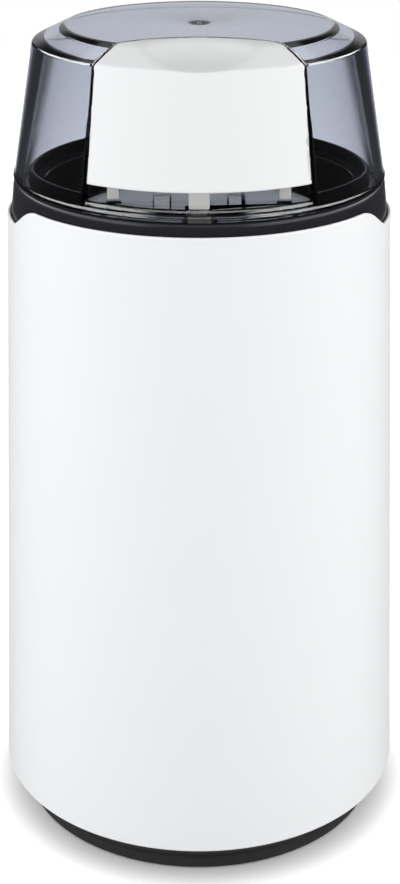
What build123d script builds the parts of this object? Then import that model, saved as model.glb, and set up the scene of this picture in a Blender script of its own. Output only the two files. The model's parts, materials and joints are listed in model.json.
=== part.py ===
"""Electric blade coffee grinder: smoked lid with a press button, tapered body, motor and base.

Millimetres, +Z up. The origin is on the table under the middle of the body, and the front faces -Y.
"""
import math
import os

from build123d import *

# Driving sizes of the whole grinder
sleeve_top_d = 82.8
sleeve_flare = 7.2
base_height = 7.4
foot_standoff = 0.4
lid_height = 32.6
bowl_depth = 39.5
press_travel = 3.0

# Clearances and overruns
overrun = 5.0
press_gap = 0.02
running_gap = 0.04
slip_gap = 0.15
free_gap = 0.3
seat_gap = 0.1

# Outer sleeve: painted sheet steel with a dip in the rim at each side and a notch for the cord gland
sleeve_wall = 0.6
dip_depth = 5.0
dip_top_width = 48.0
dip_bottom_width = 26.0
gland_rise = 3.9
gland_notch_r = 5.0

# Collar: black moulding that carries the bowl, the lid and the motor mount
collar_rise = 2.6
collar_plate = 3.0
collar_wall = 1.8
collar_lap = 0.4
skirt_length = 17.0
upstand_height = 2.9
upstand_wall = 1.9
seat_depth = 1.4
rod_guide_width = 8.0
rod_guide_depth = 6.0
rod_guide_length = 10.0
boss_count = 3
boss_r = 2.9
boss_start_angle = 0.0
boss_step_angle = 90.0

# Lid: smoked moulding with a round-backed pocket for the button
lid_inset = 1.4
lid_draft = 4.5
lid_bevel_width = 6.85
lid_bevel_height = 3.4
lid_wall = 2.0
lid_top_wall = 2.2
pocket_r = 24.6
pocket_offset = 1.3
pocket_wall = 1.2
pocket_floor = 1.6
pocket_floor_rise = 0.8
gate_r = 2.3
gate_depth = 0.5
gate_nub_r = 0.6
hook_width = 3.0
hook_height = 2.0
hook_reach = 1.0
hook_rise = 3.0
hook_angle = 18.0

# Button: white cap with a finger dimple, a stem and two guide legs
button_gap = 0.4
button_wall = 1.8
button_top_soft_r = 7.0
button_shoulder_soft_r = 2.0
button_corner_r = 0.8
dimple_r = 24.0
dimple_depth = 3.7
dimple_offset = 3.35
stem_width = 4.6
stem_depth = 2.2
stem_tip_width = 3.7
stem_tip_length = 1.6
stem_root = 5.0
leg_width = 2.4
leg_depth = 1.4
leg_side_inset = 7.6
leg_back = 0.8

# Push rod, its return spring and the switch
rod_offset = 4.0
rod_width = 4.4
rod_depth = 2.6
rod_tip_r = 1.3
rod_tip_taper = 3.0
flange_width = 7.4
flange_depth = 5.6
flange_thick = 1.2
spring_length = 14.3
spring_r = 3.0
spring_wire = 0.7
spring_turns = 5
switch_width = 18.0
switch_depth = 7.0
switch_height = 12.0
switch_front_offset = 2.6
switch_drop = 10.5
ear_thick = 0.6
ear_r = 1.6
lever_pin_r = 0.6
lever_hub_r = 1.2
lever_thick = 0.8
lever_length = 13.5
lever_arm = 8.5
lever_rest_angle = 20.0
pivot_rise = 1.2
terminal_width = 4.8
terminal_thick = 0.8
terminal_length = 6.0
terminal_share = 0.28

# Grinding bowl: drawn stainless cup
bowl_wall = 0.6
bowl_corner_r = 9.0
bowl_flange_width = 2.0
bowl_flange_gap = 0.35
bowl_hole_gap = 0.4
gasket_thick = 0.8
gasket_lip = 0.4

# Bush, nut, seal, blade and its fixings
shaft_r = 3.0
shaft_step = 0.5
bush_r = 6.0
bush_above_floor = 6.0
nut_across = 17.0
nut_thick = 3.5
seal_r = 6.5
seal_thick = 1.5
spacer_r = 6.5
spacer_thick = 3.0
blade_tip_gap = 5.0
blade_thick = 1.4
blade_root_width = 12.0
blade_tip_width = 8.0
blade_hub_r = 7.5
blade_bend_x = 9.0
blade_up_angle = 12.0
blade_down_angle = 9.0
blade_edge = 1.0
blade_edge_land = 0.5
blade_nut_across = 9.0
blade_nut_thick = 4.0
spigot_end_gap = 0.5

# Motor mount: plate under the bowl with legs down to the base and pillars for the motor
mount_plate = 4.0
mount_plate_gap = 1.4
mount_pad_r = 14.0
mount_pad_height = 1.4
mount_boss_r = 9.0
mount_boss_drop = 3.5
leg_count = 4
leg_r = 3.2
leg_inset = 4.9
leg_start_angle = 45.0
leg_hole_depth = 16.0
rib_thick = 1.8
rib_height = 3.0
switch_wall = 2.0
damper_r = 3.6
damper_thick = 3.0
screw_r = 1.5
screw_head_r = 2.8
screw_head = 2.0
screw_bite = 9.0

# Motor: two-pole stator, wound armature, commutator, brushes and fan
stator_stack = 26.0
stator_gap = 1.3
stator_width_share = 1.742
stator_depth_share = 1.935
stator_bore_share = 0.452
pole_shoe = 2.5
pole_shoe_angle = 110.0
pole_neck_share = 0.581
window_width_share = 1.161
window_depth_share = 1.419
motor_screw_share = 0.758
motor_screw_r = 2.0
pillar_r = 4.5
coil_overhang = 6.0
coil_gap = 0.3
coil_soft_r = 2.0
air_gap = 0.6
slot_count = 12
slot_width = 2.2
slot_depth_share = 0.373
slot_mouth = 1.4
slot_mouth_depth = 1.0
winding_overhang = 6.0
winding_inner_r = 4.5
winding_chamfer = 2.0
commutator_share = 0.627
commutator_length = 13.0
commutator_below_stator = 8.0
commutator_groove = 0.5
commutator_groove_depth = 0.9
fan_gap = 0.8
fan_above_winding = 4.0
fan_hub_r = 7.0
fan_height = 8.5
fan_disc = 1.2
fan_vane = 1.2
fan_vane_count = 9
fan_vane_inner_r = 8.5
fan_vane_bulge = 2.0
fan_below_mount = 2.5
brush_side = 6.2
brush_length_share = 0.63
brush_gap = 0.2
holder_wall = 0.8
holder_edge = 3.0
holder_start = 2.1
brush_spring_r = 2.2
brush_block = 12.0
bridge_inset = 1.0
bridge_plate = 4.0
bridge_below_commutator = 1.0
bridge_above_floor = 16.6
bridge_boss_r = 9.5
bridge_boss_drop = 3.0
bridge_boss_rise = 4.0
bearing_r = 7.0
bearing_length = 9.0
bearing_inset = 1.0
shaft_below_bearing = 1.5
motor_screw_bite = 12.0
motor_screw_head_r = 3.6
motor_screw_head = 2.6

# Base cover, its screws, feet, vents, gland and the capacitor that sits on it
base_edge_inset = 4.8
base_foot_inset = 5.0
base_edge_rise = 0.2
base_plinth_height = 2.8
base_lip_inset = 0.2
base_floor = 3.0
base_spigot_height = 9.2
base_spigot_wall = 2.0
base_inner_chamfer = 3.6
base_boss_r = 4.4
base_boss_gap = 0.1
base_head_depth = 8.6
base_head_clear_r = 3.6
base_screw_length = 19.0
vent_count = 20
vent_gap = 0.5
vent_length = 11.0
vent_width = 2.4
foot_count = 4
foot_r = 5.0
foot_edge = 7.0
foot_inset = 1.2
foot_soft_r = 0.4
gland_r = 4.0
gland_bore_r = 3.2
gland_flange_r = 4.6
gland_flange = 1.8
gland_face_inset = 0.3
capacitor_width = 9.0
capacitor_depth = 17.0
capacitor_height = 11.0
capacitor_edge = 1.5
capacitor_soft_r = 1.0

# Heights from the table up, each on the one below it
base_bottom_z = foot_standoff
sleeve_bottom_z = base_bottom_z + base_height
base_floor_z = base_bottom_z + base_floor
base_spigot_z = sleeve_bottom_z + base_spigot_height
gland_z = sleeve_bottom_z + gland_rise
bridge_low_z = base_floor_z + bridge_above_floor
bridge_top_z = bridge_low_z + bridge_plate
bearing_low_z = bridge_low_z - bridge_boss_drop + bearing_inset
bearing_top_z = bearing_low_z + bearing_length
commutator_low_z = bridge_top_z + bridge_boss_rise + bridge_below_commutator
commutator_top_z = commutator_low_z + commutator_length
brush_z = (commutator_low_z + commutator_top_z) / 2
stator_low_z = commutator_top_z + commutator_below_stator
stator_top_z = stator_low_z + stator_stack
fan_low_z = stator_top_z + winding_overhang + fan_above_winding
fan_top_z = fan_low_z + fan_height
mount_low_z = fan_top_z + fan_below_mount + mount_boss_drop
mount_top_z = mount_low_z + mount_plate
damper_top_z = mount_top_z + damper_thick
bowl_under_z = mount_top_z + mount_pad_height
bowl_floor_z = bowl_under_z + bowl_wall
bush_top_z = bowl_floor_z + bush_above_floor
seal_top_z = bush_top_z + seal_thick
spacer_low_z = seal_top_z + free_gap
blade_low_z = spacer_low_z + spacer_thick
blade_top_z = blade_low_z + blade_thick
blade_nut_top_z = blade_top_z + blade_nut_thick
bowl_top_z = bowl_floor_z + bowl_depth
bowl_flange_low_z = bowl_top_z - bowl_wall
seat_z = bowl_flange_low_z - gasket_thick
collar_top_z = seat_z + seat_depth
collar_low_z = collar_top_z - collar_plate
sleeve_top_z = collar_top_z - collar_rise
upstand_top_z = collar_top_z + upstand_height
lid_bottom_z = collar_top_z + seat_gap
lid_top_z = lid_bottom_z + lid_height
shoulder_z = lid_top_z - lid_bevel_height
floor_low_z = lid_bottom_z + pocket_floor_rise
floor_top_z = floor_low_z + pocket_floor
button_low_z = floor_top_z + press_travel + free_gap
rod_top_z = floor_low_z - free_gap
stem_low_z = rod_top_z + seat_gap * 2
flange_low_z = mount_top_z + spring_length + seat_gap * 2
switch_top_z = mount_low_z - switch_drop
pivot_z = switch_top_z + pivot_rise


def sleeve_r(z):
    """Outer radius of the tapered sleeve at height z."""
    share = (sleeve_top_z - z) / (sleeve_top_z - sleeve_bottom_z)
    return (sleeve_top_d + sleeve_flare * share) / 2


# Radii and places of the lid, the button and the bowl, from the sleeve's rim inwards
lid_bottom_r = sleeve_r(sleeve_top_z) - lid_inset
lid_shoulder_r = lid_bottom_r - lid_draft
lid_top_r = lid_shoulder_r - lid_bevel_width
lid_slope = lid_draft / (shoulder_z - lid_bottom_z)
pocket_centre_y = -lid_bottom_r - pocket_offset
dimple_y = -lid_top_r - dimple_offset
leg_x = pocket_r - leg_side_inset
button_low_r = lid_bottom_r - lid_slope * (button_low_z - lid_bottom_z)
leg_y = leg_back - math.sqrt((button_low_r - button_wall / 2) ** 2 - leg_x ** 2)
upstand_r = lid_bottom_r - lid_wall - lid_slope * upstand_height - free_gap
upstand_inner_r = upstand_r - upstand_wall
bowl_flange_r = upstand_inner_r - bowl_flange_gap
bowl_r = bowl_flange_r - bowl_flange_width
blade_tip_r = bowl_r - blade_tip_gap
boss_pitch_r = bowl_r + bowl_wall + free_gap + boss_r

# Places of the push rod, its lever and the switch, from the bowl's wall outwards
rod_y = -bowl_r - bowl_wall - rod_offset
switch_front_y = rod_y - switch_front_offset
switch_mid_y = switch_front_y + switch_depth / 2
pivot_x = -lever_arm
rest_slope = math.radians(lever_rest_angle)
rod_tip_reach = lever_thick / 2 + rod_tip_r + free_gap
rod_tip_z = pivot_z + lever_arm * math.tan(rest_slope) + rod_tip_reach / math.cos(rest_slope)

# Radii of the mount, the motor and the base, from the sleeve's wall inwards
spigot_r = shaft_r - shaft_step
mount_plate_r = sleeve_r(mount_top_z) - sleeve_wall - mount_plate_gap
leg_pitch_r = mount_plate_r - leg_inset
stator_r = leg_pitch_r - leg_r - stator_gap
stator_width = stator_r * stator_width_share
stator_depth = stator_r * stator_depth_share
stator_bore_r = stator_r * stator_bore_share
pole_neck_width = stator_r * pole_neck_share
window_width = stator_r * window_width_share
window_depth = stator_r * window_depth_share
motor_screw_x = stator_r * motor_screw_share
armature_r = stator_bore_r - air_gap
slot_depth = armature_r * slot_depth_share
commutator_r = armature_r * commutator_share
fan_r = motor_screw_x - pillar_r - fan_gap
bridge_r = stator_r - bridge_inset
holder_near_y = commutator_r + holder_start
holder_far_y = bridge_r - holder_edge
brush_near_y = commutator_r + brush_gap
brush_far_y = brush_near_y + (holder_far_y - holder_near_y) * brush_length_share
base_inner_r = sleeve_r(base_spigot_z) - sleeve_wall - slip_gap - base_spigot_wall
base_edge_r = sleeve_r(sleeve_bottom_z) - base_edge_inset
base_foot_r = sleeve_r(sleeve_bottom_z) - base_foot_inset
foot_pitch_r = base_foot_r - foot_edge
vent_pitch_r = foot_pitch_r - foot_r - vent_gap - vent_length / 2
capacitor_x = base_inner_chamfer + capacitor_edge + capacitor_width / 2 - base_inner_r


def spun(*points):
    """Solid of revolution about Z from points given as (radius, height)."""
    return revolve(make_face((Plane.XZ * Polyline(*points, close=True)).edges()), Axis.Z)


def post(radius, low, high, x=0, y=0):
    """Upright round bar."""
    return Pos(x, y, low) * extrude(Circle(radius), high - low)


def block(width, depth, low, high, x=0, y=0):
    """Upright rectangular bar."""
    return Pos(x, y, low) * extrude(Rectangle(width, depth), high - low)


def ring(outer, inner, low, high):
    """Upright tube about the middle of the grinder."""
    return post(outer, low, high) - post(inner, low - overrun, high + overrun)


def on_circle(count, radius, start, step):
    """Points spaced by an angle on a circle."""
    angles = [math.radians(start + step * index) for index in range(count)]
    return [(radius * math.cos(angle), radius * math.sin(angle)) for angle in angles]


def boss_points():
    return on_circle(boss_count, boss_pitch_r, boss_start_angle, boss_step_angle)


def leg_points():
    return on_circle(leg_count, leg_pitch_r, leg_start_angle, 360 / leg_count)


def foot_points():
    return on_circle(foot_count, foot_pitch_r, 0, 360 / foot_count)


def motor_screw_points():
    return [(motor_screw_x, 0), (-motor_screw_x, 0)]


def gland_notch(radius):
    """Arch-topped prism through the rear wall, around the cord gland."""
    arch = Circle(radius) + Pos(0, -gland_rise) * Rectangle(2 * radius, 2 * gland_rise)
    rear_y = sleeve_r(sleeve_bottom_z)
    return Pos(0, rear_y + overrun, gland_z) * extrude(Plane.XZ * arch, 2 * overrun)


def outer_sleeve():
    low_r = sleeve_r(sleeve_bottom_z)
    high_r = sleeve_r(sleeve_top_z)
    shell = spun(
        (low_r, sleeve_bottom_z),
        (high_r, sleeve_top_z),
        (high_r - sleeve_wall, sleeve_top_z),
        (low_r - sleeve_wall, sleeve_bottom_z),
    )
    top_y = dip_top_width / 2
    low_y = dip_bottom_width / 2
    dip_z = sleeve_top_z - dip_depth
    over_z = sleeve_top_z + overrun
    level = [(1, 0), (1, 0)]
    outline = [
        Spline((-top_y, sleeve_top_z), (-low_y, dip_z), tangents=level),
        Line((-low_y, dip_z), (low_y, dip_z)),
        Spline((low_y, dip_z), (top_y, sleeve_top_z), tangents=level),
        Polyline((top_y, sleeve_top_z), (top_y, over_z), (-top_y, over_z), (-top_y, sleeve_top_z)),
    ]
    edges = [edge for curve in outline for edge in (Plane.YZ * curve).edges()]
    dip = extrude(make_face(edges), sleeve_top_d, both=True)
    return shell - dip - gland_notch(gland_notch_r)


def collar():
    flank_low_z = sleeve_top_z - dip_depth - collar_lap
    skirt_low_z = flank_low_z - skirt_length
    inset = sleeve_wall + slip_gap
    flank_r = sleeve_r(flank_low_z) - inset
    skirt_r = sleeve_r(skirt_low_z) - inset
    plate_share = (collar_low_z - flank_low_z) / (collar_top_z - flank_low_z)
    plate_r = flank_r + (lid_bottom_r - flank_r) * plate_share
    envelope = spun(
        (0, skirt_low_z),
        (skirt_r, skirt_low_z),
        (flank_r, flank_low_z),
        (lid_bottom_r, collar_top_z),
        (0, collar_top_z),
    )
    hollow = spun(
        (0, skirt_low_z - overrun),
        (skirt_r - collar_wall, skirt_low_z - overrun),
        (skirt_r - collar_wall, skirt_low_z),
        (flank_r - collar_wall, flank_low_z),
        (plate_r - collar_wall, collar_low_z),
        (0, collar_low_z),
    )
    shell = envelope - hollow
    guide_low_z = collar_low_z - rod_guide_length
    shell += envelope & block(rod_guide_width, rod_guide_depth, guide_low_z, collar_top_z, 0, rod_y)
    for x, y in boss_points():
        shell += post(boss_r, damper_top_z, collar_top_z, x, y)
    # The upstand stands inside the lid's wall and stops short of the lid's pocket
    upstand = ring(upstand_r, upstand_inner_r, seat_z, upstand_top_z)
    pocket_out_r = pocket_r + pocket_wall + 2 * free_gap
    upstand -= post(pocket_out_r, collar_top_z, upstand_top_z + overrun, 0, pocket_centre_y)
    shell -= post(upstand_inner_r, seat_z, collar_top_z + overrun)
    shell -= post(bowl_r + bowl_wall + free_gap, collar_low_z - overrun, seat_z + overrun)
    shell += upstand
    guide_hole = (rod_width + 2 * free_gap, rod_depth + 2 * free_gap)
    shell -= block(*guide_hole, guide_low_z - overrun, collar_top_z + overrun, 0, rod_y)
    hole_top_z = damper_top_z + screw_bite + seat_gap
    for x, y in boss_points():
        shell -= post(screw_r + press_gap, damper_top_z - overrun, hole_top_z, x, y)
    return shell


def bowl_gasket():
    """Rubber channel pressed over the edge of the bowl's flange."""
    hole_r = bowl_r + bowl_wall + free_gap
    seal = ring(upstand_inner_r - seat_gap, hole_r, seat_z, bowl_top_z + gasket_lip)
    return seal - ring(bowl_flange_r + press_gap, hole_r - overrun, bowl_flange_low_z, bowl_top_z)


def cup(radius, corner_r, low, high):
    """Solid cup shape with a rounded bottom edge."""
    body = post(radius, low, high)
    return fillet(body.edges().sort_by(Axis.Z)[0], corner_r)


def grinding_bowl():
    outside = cup(bowl_r + bowl_wall, bowl_corner_r + bowl_wall, bowl_under_z, bowl_top_z)
    inside = cup(bowl_r, bowl_corner_r, bowl_floor_z, bowl_top_z + overrun)
    flange = post(bowl_flange_r, bowl_flange_low_z, bowl_top_z)
    hole = post(bush_r + bowl_hole_gap, bowl_under_z - overrun, bowl_floor_z + overrun)
    return outside + flange - inside - hole


def lid_profile(inset, top_inset, low):
    """Solid of the lid's outline drawn in by the wall thickness."""
    low_r = lid_bottom_r - inset + lid_slope * (lid_bottom_z - low)
    return spun(
        (0, low),
        (low_r, low),
        (lid_shoulder_r - inset, shoulder_z - top_inset / 2),
        (lid_top_r - inset, lid_top_z - top_inset),
        (0, lid_top_z - top_inset),
    )


def hook_places():
    """Angles from the pocket's middle at which the button's snap hooks sit."""
    return [90 - hook_angle, 90 + hook_angle]


def hook_bar(width, reach, low, high):
    """Snap hooks, or the slots for them, standing out from the pocket's round back."""
    middle_r = pocket_r - button_gap + reach / 2 - button_wall / 2
    length = reach + button_wall
    bars = []
    for angle in hook_places():
        bar = Pos(middle_r, 0, 0) * block(length, width, low, high)
        bars.append(Pos(0, pocket_centre_y, 0) * Rot(0, 0, angle) * bar)
    return bars


def lid_shell():
    hollow = lid_profile(lid_wall, lid_top_wall, lid_bottom_z - overrun)
    hollow -= post(pocket_r + pocket_wall, floor_low_z, lid_top_z, 0, pocket_centre_y)
    shell = lid_profile(0, 0, lid_bottom_z) - hollow
    shell -= post(pocket_r, floor_top_z, lid_top_z + overrun, 0, pocket_centre_y)
    stem_hole = (stem_width + 2 * free_gap, stem_depth + 2 * free_gap)
    shell -= block(*stem_hole, lid_bottom_z - overrun, floor_top_z + overrun, 0, rod_y)
    leg_hole = (leg_width + 2 * free_gap, leg_depth + 2 * free_gap)
    for x in (-leg_x, leg_x):
        shell -= block(*leg_hole, lid_bottom_z - overrun, floor_top_z + overrun, x, leg_y)
    slot_low_z = button_low_z + hook_rise - press_travel - free_gap
    slot_high_z = button_low_z + hook_rise + hook_height + free_gap
    reach = button_gap + pocket_wall + overrun / 2
    for slot in hook_bar(hook_width + 2 * free_gap, reach, slot_low_z, slot_high_z):
        shell -= slot
    # Gate mark of the mould: a shallow saucer with a nub in the middle of the lid's top
    gate = spun((0, lid_top_z - gate_depth), (gate_r, lid_top_z), (0, lid_top_z))
    nub = post(gate_nub_r, lid_top_z - gate_depth, lid_top_z)
    return shell - (gate - nub)


def button_outline(inset, low):
    """Solid of the button's outside drawn in by an inset, with soft top edges."""
    low_r = lid_bottom_r - inset + lid_slope * (lid_bottom_z - low)
    points = [
        (0, low),
        (low_r, low),
        (lid_shoulder_r - inset, shoulder_z - inset / 2),
        (lid_top_r - inset, lid_top_z - inset),
        (0, lid_top_z - inset),
    ]
    face = make_face(Polyline(*points, close=True).edges())
    corners = {points[2]: button_shoulder_soft_r, points[3]: button_top_soft_r}
    for (radius, height), soft_r in corners.items():
        corner = face.vertices().sort_by_distance((radius, height, 0))[0]
        face = fillet(corner, soft_r)
    body = revolve(Plane.XZ * face, Axis.Z)
    return body & post(pocket_r - button_gap - inset, low, lid_top_z, 0, pocket_centre_y)


def button_cap():
    outside = button_outline(0, button_low_z)
    uprights = outside.edges().filter_by(lambda edge: edge.bounding_box().size.Z > lid_height / 2)
    outside = fillet(uprights, button_corner_r)
    dimple_z = lid_top_z - dimple_depth + dimple_r
    dimple = Pos(0, dimple_y, dimple_z) * Sphere(dimple_r)
    hollow_dimple = Pos(0, dimple_y, dimple_z) * Sphere(dimple_r + button_wall)
    inside = button_outline(button_wall, button_low_z - overrun) - hollow_dimple
    cap = outside - dimple - inside
    stem_root_z = stem_low_z + stem_tip_length
    stem = block(stem_width, stem_depth, stem_root_z, button_low_z + stem_root, 0, rod_y)
    stem += block(stem_tip_width, stem_depth, stem_low_z, stem_root_z, 0, rod_y)
    cap += stem & lid_profile(button_wall / 2, button_wall, stem_low_z)
    leg_low_z = collar_top_z + press_travel + free_gap
    for x in (-leg_x, leg_x):
        cap += block(leg_width, leg_depth, leg_low_z, button_low_z + leg_width, x, leg_y)
    hook_low_z = button_low_z + hook_rise
    for hook in hook_bar(hook_width, button_gap + hook_reach, hook_low_z, hook_low_z + hook_height):
        cap += hook
    return cap


def push_rod():
    half = rod_width / 2
    taper_z = rod_tip_z + rod_tip_taper
    bar = make_face(
        Polyline(
            (-half, rod_top_z), (half, rod_top_z), (half, taper_z), (rod_tip_r, rod_tip_z),
            (-rod_tip_r, rod_tip_z), (-half, taper_z), close=True,
        ).edges()
    )
    bar += Pos(0, rod_tip_z) * Circle(rod_tip_r)
    rod = Pos(0, rod_y, 0) * extrude(Plane.XZ * bar, rod_depth / 2, both=True)
    return rod + block(flange_width, flange_depth, flange_low_z, flange_low_z + flange_thick, 0, rod_y)


def rod_spring():
    rise = spring_length - spring_wire
    helix = Helix(rise / spring_turns, rise, spring_r)
    start = Plane(origin=helix @ 0, z_dir=helix % 0)
    coil = sweep(start * Rectangle(spring_wire, spring_wire), helix, is_frenet=True)
    return Pos(0, rod_y, mount_top_z + spring_wire / 2 + seat_gap) * coil


def lever_gap_y():
    """Room between the switch's two ears, along Y."""
    return rod_depth + 2 * free_gap


def across(radius, length, x, y, z):
    """Round bar lying along Y."""
    return Pos(x, y, z) * Rot(90, 0, 0) * extrude(Circle(radius), length / 2, both=True)


def switch_body():
    body = block(switch_width, switch_depth, switch_top_z - switch_height, switch_top_z, 0, switch_mid_y)
    ear_y = lever_gap_y() / 2 + ear_thick / 2
    for y in (rod_y - ear_y, rod_y + ear_y):
        ear = across(ear_r, ear_thick, pivot_x, y, pivot_z)
        body += ear + Pos(pivot_x, y, 0) * block(2 * ear_r, ear_thick, switch_top_z, pivot_z)
    pin_length = lever_gap_y() + 2 * ear_thick
    return body - across(lever_pin_r + press_gap, pin_length + overrun, pivot_x, rod_y, pivot_z)


def lever_pin():
    return across(lever_pin_r, lever_gap_y() + 2 * ear_thick, pivot_x, rod_y, pivot_z)


def switch_lever():
    width = lever_gap_y() - 2 * slip_gap
    strip = Pos(lever_length / 2, 0, 0) * Box(lever_length, width, lever_thick)
    hub = across(lever_hub_r, width, 0, 0, 0)
    lever = hub + strip - across(lever_pin_r + running_gap, width + overrun, 0, 0, 0)
    return Pos(pivot_x, rod_y, pivot_z) * Rot(0, -lever_rest_angle, 0) * lever


def switch_terminals():
    low_z = switch_top_z - switch_height - terminal_length
    high_z = switch_top_z - switch_height
    tabs = []
    for x in (-switch_width * terminal_share, switch_width * terminal_share):
        tabs.append(block(terminal_width, terminal_thick, low_z, high_z, x, switch_mid_y))
    return Compound(tabs)


def shaft_bush():
    low_z = mount_low_z - mount_boss_drop
    return ring(bush_r, shaft_r + running_gap, low_z, bush_top_z)


def bush_nut():
    hexagon = RegularPolygon(nut_across / 2, 6, major_radius=False)
    nut = Pos(0, 0, bowl_floor_z) * extrude(hexagon, nut_thick)
    return nut - post(bush_r + press_gap, bowl_floor_z - overrun, bowl_floor_z + nut_thick + overrun)


def shaft_seal():
    return ring(seal_r, shaft_r + running_gap, bush_top_z, seal_top_z)


def blade_spacer():
    return ring(spacer_r, shaft_r + press_gap, spacer_low_z, blade_low_z)


def blade_wing(bend_angle):
    """One wing along +X, sharpened on its leading edge and bent at its root."""
    root = blade_root_width / 2
    tip = blade_tip_width / 2
    reach = blade_tip_r - blade_bend_x
    lap = -blade_thick / 2
    corners = [(lap, -root), (reach, -tip), (reach, tip), (lap, root)]
    outline = make_face(Polyline(*corners, close=True).edges())
    outline = fillet(outline.vertices().group_by(Axis.X)[-1], tip - blade_edge)
    wing = Pos(0, 0, lap) * extrude(outline, blade_thick)
    edge = wing.edges().group_by(Axis.Z)[-1].sort_by(Axis.Y)[-1]
    wing = chamfer(edge, blade_thick - blade_edge_land, blade_edge * 2)
    root_plate = Pos(-blade_bend_x / 2, 0, 0) * Box(blade_bend_x, blade_root_width, blade_thick)
    bent = Rot(0, -bend_angle, 0) * wing
    return Pos(blade_bend_x, 0, -lap) * (root_plate + bent)


def blade():
    hub = extrude(Circle(blade_hub_r), blade_thick)
    wings = blade_wing(blade_up_angle) + Rot(0, 0, 180) * blade_wing(-blade_down_angle)
    flat = hub + wings - extrude(Circle(spigot_r + press_gap), overrun, both=True)
    return Pos(0, 0, blade_low_z) * flat


def blade_nut():
    hexagon = RegularPolygon(blade_nut_across / 2, 6, major_radius=False)
    nut = Pos(0, 0, blade_top_z) * extrude(hexagon, blade_nut_thick)
    crown = nut.edges().group_by(Axis.Z)[-1]
    nut = chamfer(crown, blade_edge_land)
    return nut - post(spigot_r + press_gap, blade_top_z - overrun, blade_nut_top_z + overrun)


def motor_shaft():
    low_z = bearing_low_z - shaft_below_bearing
    journal_top_z = bearing_top_z + seat_gap
    return spun(
        (0, low_z),
        (spigot_r, low_z),
        (spigot_r, journal_top_z),
        (shaft_r, journal_top_z),
        (shaft_r, blade_low_z),
        (spigot_r, blade_low_z),
        (spigot_r, blade_nut_top_z - spigot_end_gap),
        (0, blade_nut_top_z - spigot_end_gap),
    )


def motor_mount():
    mount = post(mount_plate_r, mount_low_z, mount_top_z)
    mount += post(mount_pad_r, mount_low_z, bowl_under_z)
    mount += post(mount_boss_r, mount_low_z - mount_boss_drop, mount_low_z)
    rib = block(leg_pitch_r, rib_thick, mount_low_z - rib_height, mount_low_z, leg_pitch_r / 2)
    for index, (x, y) in enumerate(leg_points()):
        mount += post(leg_r, base_spigot_z + base_boss_gap, mount_low_z, x, y)
        mount += Rot(0, 0, leg_start_angle + index * 360 / leg_count) * rib
    for x, y in motor_screw_points():
        mount += post(pillar_r, stator_top_z, mount_low_z, x, y)
    wall_y = switch_front_y + switch_depth + switch_wall / 2
    mount += block(switch_width, switch_wall, switch_top_z - switch_height, mount_low_z, 0, wall_y)
    mount -= post(bush_r + press_gap, mount_low_z - mount_boss_drop - overrun, bowl_under_z + overrun)
    mount -= block(rod_width + 2 * free_gap, rod_depth + 2 * free_gap, mount_low_z - overrun,
                   mount_top_z + overrun, 0, rod_y)
    for x, y in boss_points():
        mount -= post(screw_r + slip_gap, mount_low_z - overrun, mount_top_z + overrun, x, y)
    for x, y in leg_points():
        hole_low_z = base_spigot_z - overrun
        mount -= post(screw_r + press_gap, hole_low_z, base_spigot_z + leg_hole_depth, x, y)
    for x, y in motor_screw_points():
        hole_top_z = stator_top_z + motor_screw_bite + seat_gap
        mount -= post(motor_screw_r + press_gap, stator_top_z - overrun, hole_top_z, x, y)
    return mount


def mount_dampers():
    hole = Circle(screw_r + slip_gap)
    rings = []
    for x, y in boss_points():
        rings.append(Pos(x, y, mount_top_z) * extrude(Circle(damper_r) - hole, damper_thick))
    return Compound([solid for shape in rings for solid in shape.solids()])


def pan_screw(shank_r, length, head_r, head):
    """Screw pointing up, with the underside of its head at height zero."""
    return post(shank_r, 0, length) + post(head_r, -head, 0)


def placed(shape, points, z):
    """Copies of a shape at several places, as separate solids of one node."""
    copies = [Pos(x, y, z) * shape for x, y in points]
    return Compound([solid for copy in copies for solid in copy.solids()])


def mount_screws():
    length = mount_plate + damper_thick + screw_bite
    return placed(pan_screw(screw_r, length, screw_head_r, screw_head), boss_points(), mount_low_z)


def stator_core():
    outline = Circle(stator_r) & Rectangle(stator_width, stator_depth)
    half_angle = pole_shoe_angle / 2
    shoe_r = stator_bore_r + pole_shoe
    window = Rectangle(window_width, window_depth)
    spread = stator_r * math.tan(math.radians(half_angle))
    fan = make_face(Polyline((0, 0), (spread, stator_r), (-spread, stator_r), close=True).edges())
    shoes = Circle(shoe_r) & (fan + mirror(fan, Plane.XZ))
    neck = Rectangle(pole_neck_width, window_depth)
    lamination = outline - (window - shoes - neck) - Circle(stator_bore_r)
    for x, y in motor_screw_points():
        lamination -= Pos(x, y) * Circle(motor_screw_r + slip_gap)
    return Pos(0, 0, stator_low_z) * extrude(lamination, stator_stack)


def field_coils():
    inner_half = pole_neck_width / 2 + coil_gap
    outer_half = window_width / 2 - coil_gap
    low_z = stator_low_z - coil_gap
    high_z = stator_top_z + coil_gap
    mid_z = (low_z + high_z) / 2
    opening = Rectangle(2 * inner_half, high_z - low_z)
    outline = Rectangle(2 * outer_half, high_z - low_z + 2 * (coil_overhang - coil_gap))
    outline = fillet(outline.vertices(), coil_soft_r)
    near_y = stator_bore_r + pole_shoe + coil_gap
    far_y = window_depth / 2 - coil_gap
    coil = Pos(0, far_y, mid_z) * extrude(Plane.XZ * (outline - opening), far_y - near_y)
    coils = [coil, mirror(coil, Plane.XZ)]
    return Compound([solid for shape in coils for solid in shape.solids()])


def slot_outline(inset):
    """Armature slots as one sketch, drawn in by an inset."""
    body_r = armature_r - slot_mouth_depth - slot_depth / 2
    body = Pos(body_r, 0) * Rectangle(slot_depth - 2 * inset, slot_width - 2 * inset)
    return [Rot(0, 0, 360 * index / slot_count) * body for index in range(slot_count)]


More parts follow.
